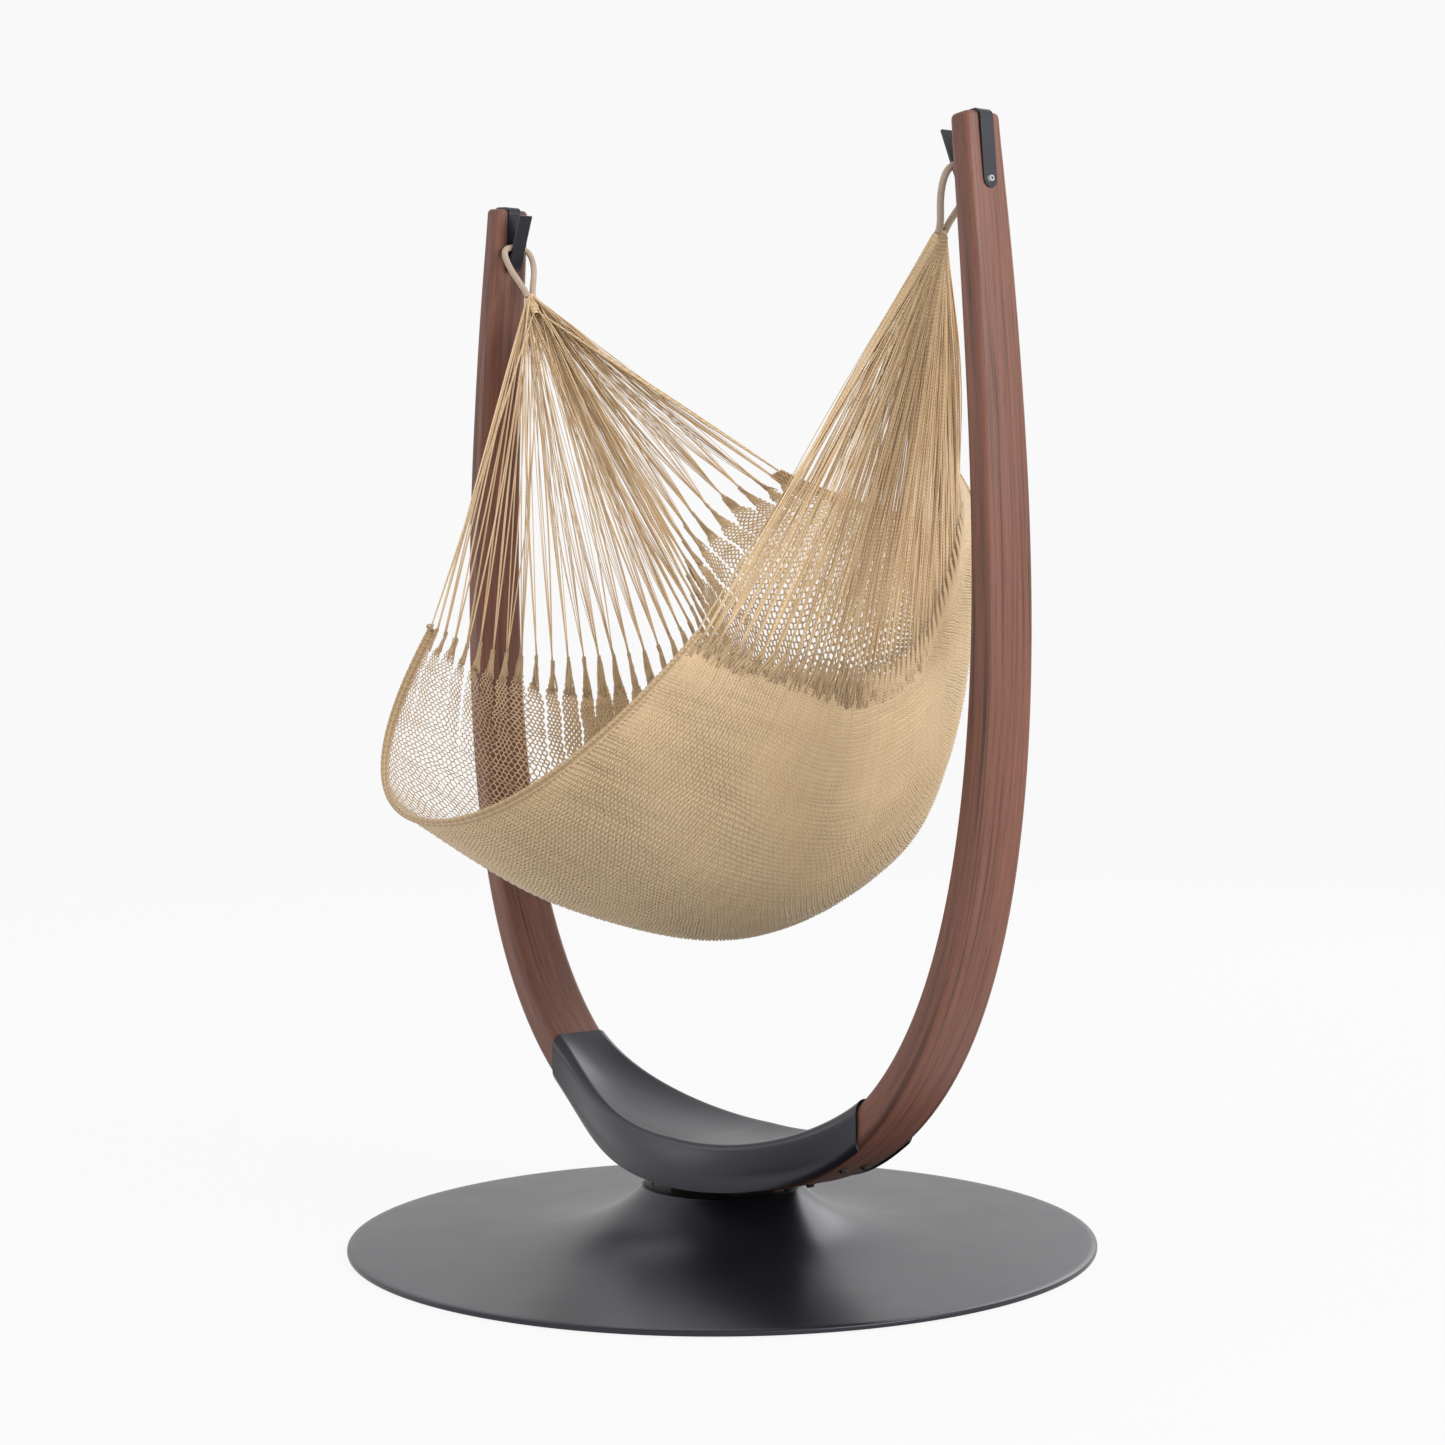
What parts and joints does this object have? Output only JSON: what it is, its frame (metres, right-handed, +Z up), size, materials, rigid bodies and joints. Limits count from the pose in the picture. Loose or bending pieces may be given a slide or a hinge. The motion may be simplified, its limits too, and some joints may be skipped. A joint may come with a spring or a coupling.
{
  "type": "hammock chair on stand",
  "caption": "Woven hammock chair hung between two bent timber arms that turn on a low spun steel disc base.",
  "frame": {"origin": "on the floor at the centre of the disc base, on the swivel axis", "axes": "+Z up along the swivel axis, +X towards the right arm, the chair opens towards -Y"},
  "size_m": [1.3878, 1.22, 1.7534],
  "materials": {
    "black_coat": "satin black powder coat on steel",
    "zinc_steel": "bright stainless and zinc plated steel",
    "cage_brass": "stamped brass strip",
    "walnut": "oiled walnut-brown bent timber, satin",
    "beech": "raw beech dowel",
    "foot_rubber": "matt black rubber",
    "yarn": "undyed sand-coloured twisted cotton-like yarn",
    "eye_rope": "pale beige rope"
  },
  "bodies": {
    "base": {"base_shell": "black_coat", "ground_ring": "black_coat", "base_ribs": "black_coat", "rubber_feet": "foot_rubber", "neck_tube": "black_coat", "bearing_plate": "black_coat", "lower_race": "zinc_steel", "kingpin": "zinc_steel", "kingpin_washer": "zinc_steel", "kingpin_nut": "zinc_steel"},
    "cage": {"bearing_balls": "zinc_steel", "ball_cage": "cage_brass"},
    "stand": {"turn_plate": "black_coat", "mounting_plate": "black_coat", "plate_bolts": "zinc_steel", "wood_inserts": "zinc_steel", "joint_dowels": "beech", "arm_left": "walnut", "arm_right": "walnut", "saddle_cover": "black_coat", "cover_nuts": "zinc_steel", "arm_bolts": "zinc_steel", "arm_washers": "zinc_steel", "hook_left": "black_coat", "hook_right": "black_coat", "hook_screws": "zinc_steel", "hook_inserts": "zinc_steel", "hook_inner_screws": "zinc_steel"},
    "hammock": {"rope_eye_left": "eye_rope", "rope_eye_right": "eye_rope", "throat_whipping_left": "eye_rope", "throat_whipping_right": "eye_rope", "nettles_left": "yarn", "nettles_right": "yarn", "hammock_bed": "yarn", "front_edge_band": "yarn", "back_edge_band": "yarn"}
  },
  "joints": [
    {"name": "swivel", "type": "hinge", "parent": "base", "child": "stand", "pos_m": [0, 0, 0.089], "axis": [0, 0, 1], "continuous": true},
    {"name": "cage_turn", "type": "hinge", "parent": "base", "child": "cage", "pos_m": [0, 0, 0.086], "axis": [0, 0, 1], "continuous": true},
    {"name": "swing", "type": "hinge", "parent": "stand", "child": "hammock", "pos_m": [0, 0, 1.678], "axis": [1, 0, 0], "range_deg": [-12, 12]}
  ],
  "couplings": [
    {"joint": "cage_turn", "follows": "swivel", "ratio": 0.5}
  ]
}
